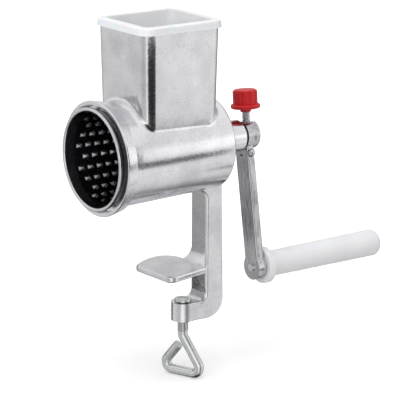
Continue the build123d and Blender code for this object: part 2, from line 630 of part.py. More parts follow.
with BuildPart() as grip_pin:
    with BuildSketch(PIN_PLANE) as pin_side:
        with BuildLine():
            Polyline(
                (ARM_FOOT_X - PIN_TAIL_DOME, 0),
                (ARM_FOOT_X - PIN_TAIL_DOME, PIN_TAIL_RADIUS),
                (PIN_SHOULDER_X, PIN_TAIL_RADIUS),
                (PIN_SHOULDER_X, GRIP_PIN_RADIUS),
                (SNAP_X, GRIP_PIN_RADIUS),
                (SNAP_X, GRIP_PIN_RADIUS - SNAP_GROOVE_DEPTH),
                (SNAP_X + SNAP_GROOVE_WIDTH, GRIP_PIN_RADIUS - SNAP_GROOVE_DEPTH),
                (SNAP_X + SNAP_GROOVE_WIDTH, GRIP_PIN_RADIUS),
                (PIN_END_X, GRIP_PIN_RADIUS),
                (PIN_END_X, 0),
                close=True,
            )
        make_face()
    revolve(axis=PIN_AXIS)
    chamfer(grip_pin.faces().sort_by(Axis.X)[-1].edges(), SHAFT_CHAMFER)

with BuildPart() as grip:
    with BuildSketch(PIN_PLANE) as grip_side:
        with BuildLine():
            Polyline(
                (GRIP_START_X, 0),
                (GRIP_START_X, GRIP_FLANGE_RADIUS),
                (GRIP_START_X + GRIP_FLANGE, GRIP_FLANGE_RADIUS),
                (GRIP_START_X + GRIP_FLANGE, GRIP_NEAR_RADIUS),
                (GRIP_END_X, GRIP_FAR_RADIUS),
                (GRIP_END_X, 0),
                close=True,
            )
        make_face()
        fillet(vertices().sort_by_distance((GRIP_END_X, GRIP_FAR_RADIUS, 0))[0], GRIP_END_ROUND)
        fillet(vertices().sort_by_distance((GRIP_START_X, GRIP_FLANGE_RADIUS, 0))[0], GRIP_FLANGE_EDGE)
        flange_back = (GRIP_START_X + GRIP_FLANGE, GRIP_FLANGE_RADIUS, 0)
        fillet(vertices().sort_by_distance(flange_back)[0], GRIP_FLANGE_EDGE)
    revolve(axis=PIN_AXIS)
    with BuildSketch(PIN_PLANE) as grip_bore:
        with BuildLine():
            Polyline(
                (GRIP_START_X, 0),
                (GRIP_START_X, GRIP_PIN_RADIUS + RUNNING_GAP),
                (LIP_X, GRIP_PIN_RADIUS + RUNNING_GAP),
                (LIP_X, LIP_RADIUS),
                (LIP_X + SNAP_LIP_WIDTH, LIP_RADIUS),
                (LIP_X + SNAP_LIP_WIDTH, GRIP_PIN_RADIUS + RUNNING_GAP),
                (PIN_END_X + GRIP_BORE_END_GAP, GRIP_PIN_RADIUS + RUNNING_GAP),
                (PIN_END_X + GRIP_BORE_END_GAP, 0),
                close=True,
            )
        make_face()
    revolve(axis=PIN_AXIS, mode=Mode.SUBTRACT)

# ================================================================ clamping knob
with BuildPart() as knob_screw:
    with BuildSketch(KNOB_PLANE.offset(SHAFT_RADIUS - SHAFT_FLAT_DEPTH + FACE_GAP)):
        Circle(KNOB_SCREW_RADIUS)
    extrude(amount=KNOB_NECK_START + KNOB_SCREW_EMBED - SHAFT_RADIUS + SHAFT_FLAT_DEPTH - FACE_GAP)

with BuildPart() as knob_cap:
    for start, end, radius in (
        (KNOB_NECK_START, KNOB_FLANGE_START, KNOB_NECK_RADIUS),
        (KNOB_FLANGE_START, KNOB_BODY_START, KNOB_FLANGE_RADIUS),
    ):
        with BuildSketch(KNOB_PLANE.offset(start)):
            Circle(radius)
        extrude(amount=end - start)
    fillet(
        knob_cap.edges().filter_by(lambda edge: edge.length > 2 * math.pi * KNOB_BODY_RADIUS),
        KNOB_EDGE,
    )
    with BuildSketch(KNOB_PLANE.offset(KNOB_BODY_START)):
        Circle(KNOB_BODY_RADIUS)
        with PolarLocations(KNOB_BODY_RADIUS + KNOB_FLUTE_RADIUS - KNOB_FLUTE_DEPTH, KNOB_FLUTES):
            Circle(KNOB_FLUTE_RADIUS, mode=Mode.SUBTRACT)
    extrude(amount=KNOB_SHOULDER - KNOB_BODY_START)
    with BuildSketch(KNOB_PLANE.offset(KNOB_SHOULDER)):
        Circle(KNOB_BODY_RADIUS - KNOB_FLUTE_DEPTH)
    with BuildSketch(KNOB_PLANE.offset(KNOB_TOP)):
        Circle(KNOB_TOP_RADIUS)
    loft()
    with BuildSketch(KNOB_PLANE.offset(KNOB_NECK_START)):
        Circle(KNOB_SCREW_RADIUS + SEAT_GAP)
    extrude(amount=KNOB_SCREW_EMBED + SEAT_GAP, mode=Mode.SUBTRACT)

# ================================================================ clamp screw and pad
with BuildPart() as clamp_screw:
    with BuildLine(LOOP_PLANE) as wire_path:
        FilletPolyline(
            (0, CLAMP_THREAD_END_Z),
            (0, LOOP_NECK_Z),
            (LOOP_RIGHT, LOOP_BOTTOM_Z),
            (LOOP_LEFT, LOOP_BOTTOM_Z),
            LOOP_CUT_END,
            radius=LOOP_BEND,
        )
    with BuildSketch(Plane.XY.offset(CLAMP_THREAD_END_Z)):
        Circle(WIRE_RADIUS)
    sweep()
    with BuildSketch(Plane.XY.offset(CLAMP_THREAD_END_Z)):
        Circle(CLAMP_THREAD_RADIUS)
    extrude(amount=SCREW_END_Z - CLAMP_THREAD_END_Z)
    with BuildSketch(Plane.XY.offset(SCREW_END_Z)):
        Circle(SPIGOT_RADIUS)
    extrude(amount=PAD_THICKNESS + FACE_GAP - SPIGOT_SINK)
    with BuildSketch(Plane.XY.offset(SCREW_END_Z + PAD_THICKNESS + FACE_GAP - SPIGOT_SINK - SPIGOT_HEAD)):
        Circle(SPIGOT_HEAD_RADIUS)
    extrude(amount=SPIGOT_HEAD)

with BuildPart() as pressure_pad:
    with BuildSketch(Plane.XY.offset(SCREW_END_Z + FACE_GAP)):
        Circle(PAD_RADIUS)
        Circle(SPIGOT_RADIUS + RUNNING_GAP, mode=Mode.SUBTRACT)
    extrude(amount=PAD_THICKNESS)
    with BuildSketch(Plane.XY.offset(SCREW_END_Z + PAD_THICKNESS + FACE_GAP)):
        Circle(SPIGOT_HEAD_RADIUS + RUNNING_GAP)
    extrude(amount=-SPIGOT_HEAD - SPIGOT_SINK - FACE_GAP, mode=Mode.SUBTRACT)

# ================================================================ pusher
with BuildPart() as pusher:
    with BuildSketch(Plane(origin=(HOPPER_X, 0, SKIRT_BOTTOM))):
        RectangleRounded(2 * SKIRT_HALF_LENGTH, 2 * SKIRT_HALF_WIDTH, SKIRT_CORNER)
    with BuildSketch(Plane(origin=(HOPPER_X, 0, PUSHER_TOP))):
        RectangleRounded(
            2 * (SKIRT_HALF_LENGTH - SKIRT_FLARE), 2 * (SKIRT_HALF_WIDTH - SKIRT_FLARE), SKIRT_CORNER
        )
    loft()
    fillet(pusher.faces().sort_by(Axis.Z)[-1].edges(), PUSHER_EDGE)
    with BuildSketch(Plane(origin=(HOPPER_X, 0, SKIRT_BOTTOM))):
        RectangleRounded(
            2 * (HOPPER_HALF_LENGTH + LOOSE_GAP),
            2 * (HOPPER_HALF_WIDTH + LOOSE_GAP),
            HOPPER_CORNER + LOOSE_GAP,
        )
    extrude(amount=HOPPER_TOP + FACE_GAP - SKIRT_BOTTOM, mode=Mode.SUBTRACT)
    with BuildSketch(Plane(origin=(HOPPER_X, 0, PLUG_BOTTOM))):
        RectangleRounded(
            2 * (PLUG_HALF_LENGTH - hopper_inset(PLUG_BOTTOM)),
            2 * (PLUG_HALF_WIDTH - hopper_inset(PLUG_BOTTOM)),
            PLUG_CORNER,
        )
    with BuildSketch(Plane(origin=(HOPPER_X, 0, HOPPER_TOP + FACE_GAP))):
        RectangleRounded(2 * PLUG_HALF_LENGTH, 2 * PLUG_HALF_WIDTH, PLUG_CORNER)
    loft()
    with BuildSketch(Plane(origin=(HOPPER_X, 0, PLUG_BOTTOM + PLUG_FLOOR))):
        RectangleRounded(
            2 * (PLUG_HALF_LENGTH - hopper_inset(PLUG_BOTTOM) - PLUG_WALL),
            2 * (PLUG_HALF_WIDTH - hopper_inset(PLUG_BOTTOM) - PLUG_WALL),
            PLUG_CORNER - PLUG_WALL,
        )
    with BuildSketch(Plane(origin=(HOPPER_X, 0, PUSHER_TOP))):
        RectangleRounded(
            2 * (PLUG_HALF_LENGTH - PLUG_WALL),
            2 * (PLUG_HALF_WIDTH - PLUG_WALL),
            PLUG_CORNER - PLUG_WALL,
        )
    loft(mode=Mode.SUBTRACT)

for name, piece in (
    ("drum_shell", drum_shell),
    ("drum_end_plate", drum_end_plate),
    ("drum_hub", drum_hub),
    ("drum_rivets", drum_rivets),
    ("drum_cross_pin", drum_cross_pin),
    ("drive_shaft", drive_shaft),
    ("crank_arm", crank_arm),
    ("grip_pin", grip_pin),
    ("grip", grip),
    ("knob_screw", knob_screw),
    ("knob_cap", knob_cap),
    ("clamp_screw", clamp_screw),
    ("pressure_pad", pressure_pad),
    ("pusher", pusher),
):
    piece.part.label = name
    export_step(piece.part, f"parts/{name}.step")
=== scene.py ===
"""The looks of a hand crank peanut grinder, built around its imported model.

Names that end in _MM are millimetres, and mm() turns them to metres. The frame is the
part's own: the origin on the underside of the clamp's jaw, +Z up, the barrel along X.
"""

import logging
import math
from dataclasses import dataclass
from enum import Enum
from typing import Sequence

import bmesh
import bpy
from mathutils import Matrix, Vector


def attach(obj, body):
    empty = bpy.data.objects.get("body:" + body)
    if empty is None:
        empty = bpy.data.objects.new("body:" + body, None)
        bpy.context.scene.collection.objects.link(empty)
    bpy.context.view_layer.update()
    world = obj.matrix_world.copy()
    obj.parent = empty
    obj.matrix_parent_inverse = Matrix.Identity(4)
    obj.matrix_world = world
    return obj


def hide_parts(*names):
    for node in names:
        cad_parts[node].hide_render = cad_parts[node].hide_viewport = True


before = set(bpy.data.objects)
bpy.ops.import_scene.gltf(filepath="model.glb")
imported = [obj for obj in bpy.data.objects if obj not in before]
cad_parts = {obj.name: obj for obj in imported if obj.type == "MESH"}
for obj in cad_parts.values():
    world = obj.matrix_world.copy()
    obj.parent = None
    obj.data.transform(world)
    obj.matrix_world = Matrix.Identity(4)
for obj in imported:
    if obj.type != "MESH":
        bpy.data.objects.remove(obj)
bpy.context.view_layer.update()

LOG = logging.getLogger("grinder")

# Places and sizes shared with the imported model
AXIS_HEIGHT_MM = 92.0
CRANK_REST = math.radians(5.0)
HUB_MID_MM = 56.45
FLOOR_MM = -81.55
HALF_TURN = math.pi

# A rolled thread's form, as shares of its pitch
THREAD_DEPTH = 0.61
CREST_START = 0.42
CREST_END = 0.58
CORE_LAP_MM = 0.02


def mm(length: float) -> float:
    """Return a length in millimetres as metres."""
    return length / 1000.0


def mm3(x: float, y: float, z: float) -> Vector:
    """Return a place in millimetres as a vector in metres."""
    return Vector((x, y, z)) / 1000.0


def linear(code: str) -> tuple[float, float, float, float]:
    """Turn an sRGB hex colour to linear light.

    Args:
        code: Six hex digits, such as "c8c8ce".

    Returns:
        Red, green, blue and an alpha of one.
    """
    parts = [int(code[at : at + 2], 16) / 255 for at in (0, 2, 4)]
    red, green, blue = (p / 12.92 if p <= 0.04045 else ((p + 0.055) / 1.055) ** 2.4 for p in parts)
    return red, green, blue, 1.0


def add_node(
    tree: bpy.types.NodeTree, kind: str, settings: dict | None = None, inputs: dict | None = None
) -> bpy.types.Node:
    """Add one node with its settings, values and links.

    Args:
        tree: The node tree.
        kind: The node's type, such as "ShaderNodeBump".
        settings: Attributes of the node by name.
        inputs: Input sockets by name or number; an output socket is linked and anything
            else becomes the input's own value.

    Returns:
        The new node.
    """
    node = tree.nodes.new(kind)
    for name, value in (settings or {}).items():
        setattr(node, name, value)
    for name, value in (inputs or {}).items():
        if isinstance(value, bpy.types.NodeSocket):
            tree.links.new(value, node.inputs[name])
        else:
            node.inputs[name].default_value = value
    return node


def blank_material(name: str) -> tuple[bpy.types.Material, bpy.types.NodeTree]:
    """Make a material whose node tree is empty.

    Args:
        name: The finish's name.

    Returns:
        The material and its node tree.
    """
    material = bpy.data.materials.new(name)
    material.use_nodes = True
    material.node_tree.nodes.clear()
    return material, material.node_tree


def set_ramp(node: bpy.types.Node, stops: Sequence[tuple]) -> bpy.types.NodeSocket:
    """Give a colour ramp its stops.

    Args:
        node: The colour ramp node.
        stops: Place and grey level, or place and colour, in rising order.

    Returns:
        The ramp's colour output.
    """
    elements = node.color_ramp.elements
    while len(elements) < len(stops):
        elements.new(1.0)
    for element, (place, level) in zip(elements, stops):
        element.position = place
        element.color = level if isinstance(level, tuple) else (level, level, level, 1.0)
    return node.outputs["Color"]


# ------------------------------------------------------------------ finishes
@dataclass(frozen=True)
class TumbledAluminium:
    """Cast aluminium, tumbled and buffed: bright and soft, with a fine grain and small dents.

    The real grain is finer. It is drawn as coarse as it has to be to show.
    """

    name: str = "tumbled_cast_aluminium"
    light: str = "ececee"
    dark: str = "dadade"
    roughness: float = 0.19
    rough_spread: tuple[float, float] = (0.8, 1.25)
    grain_mm: float = 1.1
    grain_lift_mm: float = 0.014
    pit_level: float = 0.82
    stretch: tuple[float, float, float] = (1.0, 1.0, 1.0)
    dent_mm: float = 8.0
    dent_lift_mm: float = 0.09
    cloud_mm: float = 22.0

    def build(self) -> bpy.types.Material:
        """Return the material."""
        material, tree = blank_material(self.name)
        place = add_node(tree, "ShaderNodeTexCoord").outputs["Object"]
        drawn = add_node(tree, "ShaderNodeMapping", None, {"Vector": place, "Scale": self.stretch})
        patterns = (
            (place, self.cloud_mm, 3.0),
            (drawn.outputs["Vector"], self.grain_mm, 3.0),
            (place, self.dent_mm, 1.0),
        )
        cloud, grain, dent = (
            add_node(
                tree, "ShaderNodeTexNoise", None, {"Vector": way, "Scale": 1 / mm(size), "Detail": detail}
            ).outputs["Fac"]
            for way, size, detail in patterns
        )
        tones = set_ramp(
            add_node(tree, "ShaderNodeValToRGB", None, {"Fac": cloud}),
            ((0.35, linear(self.dark)), (0.62, linear(self.light))),
        )
        # small dark pits that the tumbling leaves
        pits = set_ramp(
            add_node(tree, "ShaderNodeValToRGB", None, {"Fac": grain}), ((0.3, self.pit_level), (0.47, 1.0))
        )
        colour = add_node(
            tree,
            "ShaderNodeMix",
            {"data_type": "RGBA", "blend_type": "MULTIPLY"},
            {0: 1.0, 6: tones, 7: pits},
        ).outputs[2]
        smooth, rough = (self.roughness * share for share in self.rough_spread)
        polish = add_node(
            tree,
            "ShaderNodeMapRange",
            None,
            {"Value": grain, "From Min": 0.35, "From Max": 0.65, "To Min": smooth, "To Max": rough},
        )
        dents = add_node(
            tree,
            "ShaderNodeBump",
            None,
            {"Height": dent, "Strength": 1.0, "Distance": mm(self.dent_lift_mm)},
        )
        bump = add_node(
            tree,
            "ShaderNodeBump",
            None,
            {
                "Height": grain,
                "Strength": 1.0,
                "Distance": mm(self.grain_lift_mm),
                "Normal": dents.outputs["Normal"],
            },
        )
        shader = add_node(
            tree,
            "ShaderNodeBsdfPrincipled",
            None,
            {
                "Base Color": colour,
                "Metallic": 1.0,
                "Roughness": polish.outputs["Result"],
                "Normal": bump.outputs["Normal"],
            },
        )
        add_node(tree, "ShaderNodeOutputMaterial", None, {"Surface": shader.outputs["BSDF"]})
        return material


@dataclass(frozen=True)
class RolledSteel:
    """Bright sheet or bar steel: rolled or turned, with fine lines along one direction.

    The real lines are finer. They are drawn as coarse as they have to be to show.
    """

    name: str
    tone: str
    line_shade: float = 0.82
    roughness: float = 0.2
    rough_spread: tuple[float, float] = (0.8, 1.3)
    line_mm: float = 0.6
    line_lift_mm: float = 0.01
    stretch: tuple[float, float, float] = (0.08, 1.0, 1.0)
    painted_shade_tone: str = ""  # the tone of the painted shade behind the rim, inside the drum
    painted_shade_x_mm: tuple[float, float] = (-78.7, -78.2)

    def build(self) -> bpy.types.Material:
        """Return the material."""
        material, tree = blank_material(self.name)
        place = add_node(tree, "ShaderNodeTexCoord").outputs["Object"]
        along = add_node(tree, "ShaderNodeMapping", None, {"Vector": place, "Scale": self.stretch})
        lines = add_node(
            tree,
            "ShaderNodeTexNoise",
            None,
            {"Vector": along.outputs["Vector"], "Scale": 1 / mm(self.line_mm), "Detail": 2.0},
        ).outputs["Fac"]
        bright = linear(self.tone)
        shaded = tuple(channel * self.line_shade for channel in bright[:3]) + (1.0,)
        colour = set_ramp(
            add_node(tree, "ShaderNodeValToRGB", None, {"Fac": lines}), ((0.3, shaded), (0.6, bright))
        )
        # painted shade: past the rim the steel is painted darker, for the shade inside the drum
        if self.painted_shade_tone:
            axes = add_node(tree, "ShaderNodeSeparateXYZ", None, {"Vector": place})
            near, far = (mm(x) for x in self.painted_shade_x_mm)
            painted_shade_share = add_node(
                tree,
                "ShaderNodeMapRange",
                None,
                {"Value": axes.outputs["X"], "From Min": near, "From Max": far},
            )
            colour = add_node(
                tree,
                "ShaderNodeMix",
                {"data_type": "RGBA"},
                {0: painted_shade_share.outputs["Result"], 6: colour, 7: linear(self.painted_shade_tone)},
            ).outputs[2]
        smooth, rough = (self.roughness * share for share in self.rough_spread)
        polish = add_node(
            tree,
            "ShaderNodeMapRange",
            None,
            {"Value": lines, "From Min": 0.3, "From Max": 0.7, "To Min": smooth, "To Max": rough},
        )
        bump = add_node(
            tree,
            "ShaderNodeBump",
            None,
            {"Height": lines, "Strength": 1.0, "Distance": mm(self.line_lift_mm)},
        )
        shader = add_node(
            tree,
            "ShaderNodeBsdfPrincipled",
            None,
            {
                "Base Color": colour,
                "Metallic": 1.0,
                "Roughness": polish.outputs["Result"],
                "Normal": bump.outputs["Normal"],
            },
        )
        add_node(tree, "ShaderNodeOutputMaterial", None, {"Surface": shader.outputs["BSDF"]})
        return material


@dataclass(frozen=True)
class MouldedPlastic:
    """Injection-moulded plastic: one colour right through, a satin skin with a fine orange peel."""

    name: str
    tone: str
    shade: str
    roughness: float = 0.35
    scatter_mm: float = 0.0
    scatter_weight: float = 0.4
    ior: float = 1.49
    peel_mm: float = 1.2
    peel_lift_mm: float = 0.01
    cloud_mm: float = 18.0

    def build(self) -> bpy.types.Material:
        """Return the material."""
        material, tree = blank_material(self.name)
        place = add_node(tree, "ShaderNodeTexCoord").outputs["Object"]
        cloud, peel = (
            add_node(
                tree, "ShaderNodeTexNoise", None, {"Vector": place, "Scale": 1 / mm(size), "Detail": 2.0}
            ).outputs["Fac"]
            for size in (self.cloud_mm, self.peel_mm)
        )
        colour = set_ramp(
            add_node(tree, "ShaderNodeValToRGB", None, {"Fac": cloud}),
            ((0.3, linear(self.shade)), (0.6, linear(self.tone))),
        )
        bump = add_node(
            tree,
            "ShaderNodeBump",
            None,
            {"Height": peel, "Strength": 1.0, "Distance": mm(self.peel_lift_mm)},
        )
        shader = add_node(
            tree,
            "ShaderNodeBsdfPrincipled",
            None,
            {
                "Base Color": colour,
                "Roughness": self.roughness,
                "IOR": self.ior,
                "Subsurface Weight": self.scatter_weight if self.scatter_mm else 0.0,
                "Subsurface Scale": mm(self.scatter_mm),
                "Normal": bump.outputs["Normal"],
            },
        )
        add_node(tree, "ShaderNodeOutputMaterial", None, {"Surface": shader.outputs["BSDF"]})
        return material


class Finish(Enum):
    """The finishes of the grinder, each with its builder."""

    CASTING = TumbledAluminium()
    # the crank is the same alloy, buffed less
    CRANK = TumbledAluminium(
        "tumbled_crank_aluminium",
        "d0d0d3",
        "b6b6ba",
        roughness=0.24,
        grain_mm=1.4,
        pit_level=0.5,
        stretch=(1.0, 1.0, 0.12),
        dent_lift_mm=0.06,
    )
    # tinned sheet, bright on the rolled rim; behind the rim, inside the drum, it is painted darker as
    # painted shade
    DRUM = RolledSteel("tinned_steel_with_painted_shade", "dcdce0", roughness=0.2, painted_shade_tone="747478")
    TEETH = RolledSteel("punched_steel_edges", "98989c", roughness=0.25)
    BRIGHT = RolledSteel("turned_bright_steel", "d9d9de", roughness=0.16, line_mm=0.5)
    ZINC = RolledSteel("zinc_plated_steel", "dadcdc", roughness=0.18, line_mm=0.7, stretch=(1.0, 1.0, 0.2))
    NYLON = MouldedPlastic("moulded_black_nylon", "1b1b1d", "131315", roughness=0.42)
    WHITE = MouldedPlastic("moulded_white_polyethylene", "e6e6e8", "e1e1e4", roughness=0.4, scatter_mm=3.0)
    RED = MouldedPlastic("moulded_red_abs", "c40815", "b40612", roughness=0.42)

    def material(self) -> bpy.types.Material:
        """Return the finish's material, made once."""
        return bpy.data.materials.get(self.value.name) or self.value.build()


def dress(node: str, finish: Finish) -> None:
    """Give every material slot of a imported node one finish.

    Args:
        node: The node's name.
        finish: What it is made of.
    """
    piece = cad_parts[node]
    for slot in piece.material_slots:
        slot.material = finish.material()
    LOG.info("%s dressed in %s", node, finish.value.name)


def finish_piece(
    mesh: bmesh.types.BMesh, name: str, finish: Finish, body: str, smooth_deg: float = 35.0
) -> bpy.types.Object:
    """Turn a bmesh into a piece of the grinder.

    Args:
        mesh: The shape, in its place.
        name: The piece's name.
        finish: What it is made of.
        body: The body that it moves with.
        smooth_deg: Edges sharper than this stay sharp.

    Returns:
        The new object.
    """
    for face in mesh.faces:
        face.smooth = True
    sharp = math.radians(smooth_deg)
    for edge in mesh.edges:
        edge.smooth = len(edge.link_faces) == 2 and edge.calc_face_angle(HALF_TURN) < sharp
    data = bpy.data.meshes.new(name)
    mesh.to_mesh(data)
    mesh.free()
    piece = bpy.data.objects.new(name, data)
    bpy.context.scene.collection.objects.link(piece)
    data.materials.append(finish.material())
    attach(piece, body)
    LOG.info("%s: %d faces on %s", name, len(data.polygons), body)
    return piece


def merge_and_face_out(mesh: bmesh.types.BMesh, gap_mm: float = 0.002) -> None:
    """Close the seams of a shape and turn its faces outwards.

    Args:
        mesh: The shape.
        gap_mm: How near two vertices are to be one.
    """
    bmesh.ops.remove_doubles(mesh, verts=mesh.verts, dist=mm(gap_mm))
    bmesh.ops.recalc_face_normals(mesh, faces=mesh.faces)


def turned(mesh: bmesh.types.BMesh, outline: Sequence[tuple[float, float]], steps: int = 48) -> None:
    """Add a shape turned about Z to a mesh.

    Args:
        mesh: The mesh that it is added to.
        outline: Radius and height of its points in millimetres.
        steps: Facets around.
    """
    ring = [mesh.verts.new(mm3(radius, 0, height)) for radius, height in outline]
    edges = [mesh.edges.new(pair) for pair in zip(ring, ring[1:])]
    bmesh.ops.spin(
        mesh,
        geom=ring + edges,
        cent=(0, 0, 0),
        axis=(0, 0, 1),
        angle=2 * HALF_TURN,
        steps=steps,
        use_merge=True,
    )


def threaded(
    mesh: bmesh.types.BMesh,
    radius_mm: float,
    pitch_mm: float,
    low_mm: float,
    high_mm: float,
    facets: int = 20,
) -> None:
    """Add a screw thread about Z, wound up from its low end.

    Args:
        mesh: The mesh that it is added to.
        radius_mm: The crest's radius.
        pitch_mm: The rise of one turn.
        low_mm: Height of its low end.
        high_mm: Height of its high end.
        facets: Facets in each turn.
    """
    root = radius_mm - THREAD_DEPTH * pitch_mm
    turns = int((high_mm - low_mm) / pitch_mm) - 1
    profile = ((root, 0.0), (radius_mm, CREST_START), (radius_mm, CREST_END), (root, 1.0))
    ring = [mesh.verts.new(mm3(radius, 0, low_mm + share * pitch_mm)) for radius, share in profile]
    edges = [mesh.edges.new(pair) for pair in zip(ring, ring[1:])]
    bmesh.ops.spin(
        mesh,
        geom=ring + edges,
        cent=(0, 0, 0),
        axis=(0, 0, 1),
        dvec=mm3(0, 0, pitch_mm / facets),
        angle=2 * HALF_TURN * turns,
        steps=facets * turns,
        use_merge=False,
    )
    # a plain core closes the thread's two ends
    core = root + CORE_LAP_MM
    turned(mesh, ((0, low_mm), (core, low_mm), (core, high_mm), (0, high_mm)), facets)


# ------------------------------------------------------------------ sub-assemblies
@dataclass
class BodyCasting:
    """The barrel, hopper and clamp frame, cast in one, with the bushes that carry the shaft."""

    def dress(self) -> None:
        """Give the casting and its bushes their finishes."""
        dress("body_casting", Finish.CASTING)
        dress("front_bush", Finish.NYLON)
        dress("rear_bush", Finish.NYLON)


@dataclass
class GratingDrum:
    """The drum with its punched teeth, the shaft and what joins them."""

    mouth_mm: float = -79.3
    rear_mm: float = 15.9
    front_radius_mm: float = 33.6
    rear_radius_mm: float = 29.5
    sheet_mm: float = 0.8
    hole_lines: int = 25
    holes_in_line: int = 10
    hole_pitch_mm: float = 7.5
    hole_margin_mm: float = 11.8
    hole_stagger: int = 3
    first_angle: float = math.radians(-10.5)
    tooth_half_width_mm: float = 1.5
    tooth_start_mm: float = -2.3
    tooth_tip_mm: float = 0.4
    tooth_rise_mm: float = 1.7
    tooth_back_mm: float = 1.2
    tooth_root_mm: float = 0.35
    tooth_lap_mm: float = 0.05

    def inner_radius(self, x_mm: float) -> float:
        """Return the radius of the drum's inner face at x, in millimetres."""
        share = (x_mm - self.mouth_mm) / (self.rear_mm - self.mouth_mm)
        return self.front_radius_mm + (self.rear_radius_mm - self.front_radius_mm) * share - self.sheet_mm

    def hole_places(self) -> list[tuple[float, float]]:
        """Return each hole's place along X in millimetres and its angle from +Y towards +Z."""
        places = []
        first_mm = self.mouth_mm + self.hole_margin_mm
        for line in range(self.hole_lines):
            away = line - self.hole_lines // 2
            step = (abs(away) + self.hole_stagger - 1) % self.hole_stagger / self.hole_stagger
            angle = self.first_angle + away * 2 * HALF_TURN / self.hole_lines
            for hole in range(self.holes_in_line):
                places.append((first_mm + (step + hole) * self.hole_pitch_mm, angle))
        return places

    def build_teeth(self) -> bpy.types.Object:
        """Build the flaps that the punch pushed in at the mouth side of each hole.

        Returns:
            The piece with every tooth.
        """
        mesh = bmesh.new()
        axis = Matrix.Translation(mm3(0, 0, AXIS_HEIGHT_MM))
        for x_mm, angle in self.hole_places():
            start, tip = x_mm + self.tooth_start_mm, x_mm + self.tooth_tip_mm
            skin = self.inner_radius(start)
            corners = (
                (start, -self.tooth_half_width_mm, skin + self.tooth_lap_mm),
                (start, self.tooth_half_width_mm, skin + self.tooth_lap_mm),
                (tip, 0.0, skin - self.tooth_rise_mm),
                (start + self.tooth_back_mm, 0.0, skin + self.tooth_root_mm),
            )
            place = axis @ Matrix.Rotation(angle - HALF_TURN / 2, 4, "X")
            verts = [mesh.verts.new(place @ mm3(x, side, out)) for x, side, out in corners]
            bmesh.ops.convex_hull(mesh, input=verts)
        bmesh.ops.recalc_face_normals(mesh, faces=mesh.faces)
        piece = finish_piece(mesh, "drum_teeth", Finish.TEETH, "drum", smooth_deg=1.0)
        return piece

    def dress(self) -> None:
        """Give the drum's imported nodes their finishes."""
        for node in ("drum_shell", "drum_end_plate"):
            dress(node, Finish.DRUM)
        for node in ("drum_hub", "drum_rivets", "drum_cross_pin", "drive_shaft", "inner_thrust_washer"):
            dress(node, Finish.BRIGHT)


@dataclass
class Crank:
    """The crank arm with its clamping knob, and the grip on its pin."""

    screw_radius_mm: float = 3.0
    screw_low_mm: float = 4.45
    screw_high_mm: float = 25.7
    screw_pitch_mm: float = 1.0

    def crank_place(self) -> Matrix:
        """Return the placing that stands +Z up the knob's screw, from the barrel's axis."""
        return Matrix.Translation(mm3(HUB_MID_MM, 0, AXIS_HEIGHT_MM)) @ Matrix.Rotation(-CRANK_REST, 4, "X")

    def build_screw(self) -> bpy.types.Object:
        """Build the knob's screw with its thread.

        Returns:
            The piece, which stands for the plain packed screw.
        """
        mesh = bmesh.new()
        threaded(mesh, self.screw_radius_mm, self.screw_pitch_mm, self.screw_low_mm, self.screw_high_mm)
        merge_and_face_out(mesh)
        bmesh.ops.transform(mesh, matrix=self.crank_place(), verts=mesh.verts)
        piece = finish_piece(mesh, "knob_screw_thread", Finish.BRIGHT, "knob")
        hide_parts("knob_screw")
        return piece

    def dress(self) -> None:
        """Give the crank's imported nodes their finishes."""
        dress("crank_arm", Finish.CRANK)
        dress("grip_pin", Finish.BRIGHT)
        dress("outer_thrust_washer", Finish.BRIGHT)
        dress("knob_cap", Finish.RED)
        dress("grip", Finish.WHITE)


